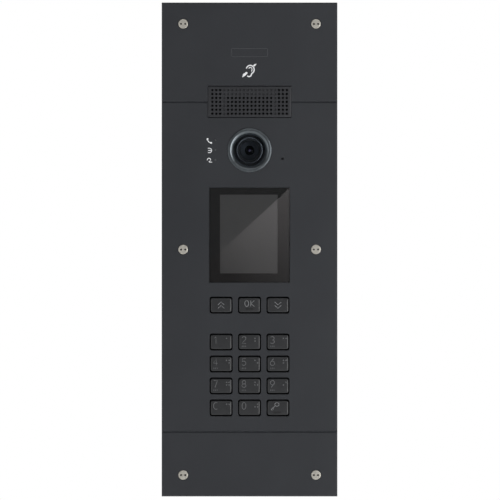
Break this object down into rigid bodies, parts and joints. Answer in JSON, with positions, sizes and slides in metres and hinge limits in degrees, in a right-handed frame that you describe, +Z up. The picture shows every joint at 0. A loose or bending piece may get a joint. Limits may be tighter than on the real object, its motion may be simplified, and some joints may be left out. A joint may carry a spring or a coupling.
{
  "type": "door intercom panel",
  "caption": "Tall flush-mounted video door intercom panel with speaker grille, camera, display and keypad, on a wall box.",
  "frame": {"origin": "centre of the faceplate's outline, on the wall's surface", "axes": "+Z up, +X to the right for a person facing the panel, +Y into the wall; the front faces -Y"},
  "size_m": [0.16, 0.0575, 0.45],
  "materials": {
    "faceplate": "fine matt anthracite coat",
    "gasket_rubber": "matt black rubber",
    "screw_steel": "satin stainless steel",
    "zinc_steel": "zinc-plated sheet steel",
    "black_plastic": "fine-textured black plastic",
    "foam": "open black foam",
    "speaker_metal": "dull grey metal",
    "cone_paper": "coated dark paper",
    "coil_copper": "enamelled copper winding",
    "ring_metal": "satin blue-grey anodised",
    "tinted_glass": "polished, lightly tinted",
    "mask_print": "black print film",
    "lcd": "unlit display",
    "light_pipe": "clear acrylic",
    "key_plastic": "satin dark grey",
    "silicone": "matt grey silicone",
    "circuit_board": "green solder mask",
    "ribbon": "white flat cable",
    "terminal_plastic": "green moulded plastic",
    "trimmer_plastic": "cream moulded plastic"
  },
  "bodies": {
    "panel": {"faceplate": "faceplate", "wall_gasket": "gasket_rubber", "housing_seal": "gasket_rubber", "cable_grommet": "gasket_rubber", "microphone_boot": "gasket_rubber", "security_screw_top_left": "screw_steel", "security_screw_top_right": "screw_steel", "security_screw_middle_left": "screw_steel", "security_screw_middle_right": "screw_steel", "security_screw_bottom_left": "screw_steel", "security_screw_bottom_right": "screw_steel", "wall_box": "zinc_steel", "housing_screw_1": "zinc_steel", "housing_screw_2": "zinc_steel", "housing_screw_3": "zinc_steel", "housing_screw_4": "zinc_steel", "speaker_grille": "black_plastic", "camera_lens_barrel": "black_plastic", "camera_housing": "black_plastic", "lcd_backlight_tray": "black_plastic", "rear_housing": "black_plastic", "grille_membrane": "foam", "speaker_gasket": "foam", "speaker_frame": "speaker_metal", "speaker_magnet": "speaker_metal", "microphone_capsule": "speaker_metal", "speaker_cone": "cone_paper", "hearing_loop_coil": "coil_copper", "camera_ring": "ring_metal", "camera_window": "tinted_glass", "camera_front_lens": "tinted_glass", "display_glass": "tinted_glass", "display_mask": "mask_print", "lcd_panel": "lcd", "status_light_guide": "light_pipe", "keypad_mat": "silicone", "camera_sensor_board": "circuit_board", "front_board": "circuit_board", "main_board": "circuit_board", "ribbon_cable": "ribbon", "bus_terminal_block": "terminal_plastic", "lock_terminal_block": "terminal_plastic"},
    "key_scroll_up_body": {"key_scroll_up": "key_plastic"},
    "key_ok_body": {"key_ok": "key_plastic"},
    "key_scroll_down_body": {"key_scroll_down": "key_plastic"},
    "key_1_body": {"key_1": "key_plastic"},
    "key_2_body": {"key_2": "key_plastic"},
    "key_3_body": {"key_3": "key_plastic"},
    "key_4_body": {"key_4": "key_plastic"},
    "key_5_body": {"key_5": "key_plastic"},
    "key_6_body": {"key_6": "key_plastic"},
    "key_7_body": {"key_7": "key_plastic"},
    "key_8_body": {"key_8": "key_plastic"},
    "key_9_body": {"key_9": "key_plastic"},
    "key_clear_body": {"key_clear": "key_plastic"},
    "key_0_body": {"key_0": "key_plastic"},
    "key_unlock_body": {"key_unlock": "key_plastic"},
    "speaker_volume_trimmer_body": {"speaker_volume_trimmer": "trimmer_plastic"},
    "microphone_volume_trimmer_body": {"microphone_volume_trimmer": "trimmer_plastic"}
  },
  "joints": [
    {"name": "key_scroll_up_press", "type": "slide", "parent": "panel", "child": "key_scroll_up_body", "axis": [0, 1, 0], "range_m": [0, 0.0012], "stiffness_N_per_m": 800, "deforming": ["keypad_mat"]},
    {"name": "key_ok_press", "type": "slide", "parent": "panel", "child": "key_ok_body", "axis": [0, 1, 0], "range_m": [0, 0.0012], "stiffness_N_per_m": 800, "deforming": ["keypad_mat"]},
    {"name": "key_scroll_down_press", "type": "slide", "parent": "panel", "child": "key_scroll_down_body", "axis": [0, 1, 0], "range_m": [0, 0.0012], "stiffness_N_per_m": 800, "deforming": ["keypad_mat"]},
    {"name": "key_1_press", "type": "slide", "parent": "panel", "child": "key_1_body", "axis": [0, 1, 0], "range_m": [0, 0.0012], "stiffness_N_per_m": 800, "deforming": ["keypad_mat"]},
    {"name": "key_2_press", "type": "slide", "parent": "panel", "child": "key_2_body", "axis": [0, 1, 0], "range_m": [0, 0.0012], "stiffness_N_per_m": 800, "deforming": ["keypad_mat"]},
    {"name": "key_3_press", "type": "slide", "parent": "panel", "child": "key_3_body", "axis": [0, 1, 0], "range_m": [0, 0.0012], "stiffness_N_per_m": 800, "deforming": ["keypad_mat"]},
    {"name": "key_4_press", "type": "slide", "parent": "panel", "child": "key_4_body", "axis": [0, 1, 0], "range_m": [0, 0.0012], "stiffness_N_per_m": 800, "deforming": ["keypad_mat"]},
    {"name": "key_5_press", "type": "slide", "parent": "panel", "child": "key_5_body", "axis": [0, 1, 0], "range_m": [0, 0.0012], "stiffness_N_per_m": 800, "deforming": ["keypad_mat"]},
    {"name": "key_6_press", "type": "slide", "parent": "panel", "child": "key_6_body", "axis": [0, 1, 0], "range_m": [0, 0.0012], "stiffness_N_per_m": 800, "deforming": ["keypad_mat"]},
    {"name": "key_7_press", "type": "slide", "parent": "panel", "child": "key_7_body", "axis": [0, 1, 0], "range_m": [0, 0.0012], "stiffness_N_per_m": 800, "deforming": ["keypad_mat"]},
    {"name": "key_8_press", "type": "slide", "parent": "panel", "child": "key_8_body", "axis": [0, 1, 0], "range_m": [0, 0.0012], "stiffness_N_per_m": 800, "deforming": ["keypad_mat"]},
    {"name": "key_9_press", "type": "slide", "parent": "panel", "child": "key_9_body", "axis": [0, 1, 0], "range_m": [0, 0.0012], "stiffness_N_per_m": 800, "deforming": ["keypad_mat"]},
    {"name": "key_clear_press", "type": "slide", "parent": "panel", "child": "key_clear_body", "axis": [0, 1, 0], "range_m": [0, 0.0012], "stiffness_N_per_m": 800, "deforming": ["keypad_mat"]},
    {"name": "key_0_press", "type": "slide", "parent": "panel", "child": "key_0_body", "axis": [0, 1, 0], "range_m": [0, 0.0012], "stiffness_N_per_m": 800, "deforming": ["keypad_mat"]},
    {"name": "key_unlock_press", "type": "slide", "parent": "panel", "child": "key_unlock_body", "axis": [0, 1, 0], "range_m": [0, 0.0012], "stiffness_N_per_m": 800, "deforming": ["keypad_mat"]},
    {"name": "speaker_volume_turn", "type": "hinge", "parent": "panel", "child": "speaker_volume_trimmer_body", "pos_m": [-0.014, 0.02575, -0.1017], "axis": [0, 1, 0], "range_deg": [-135, 135]},
    {"name": "microphone_volume_turn", "type": "hinge", "parent": "panel", "child": "microphone_volume_trimmer_body", "pos_m": [0.014, 0.02575, -0.1017], "axis": [0, 1, 0], "range_deg": [-135, 135]}
  ]
}
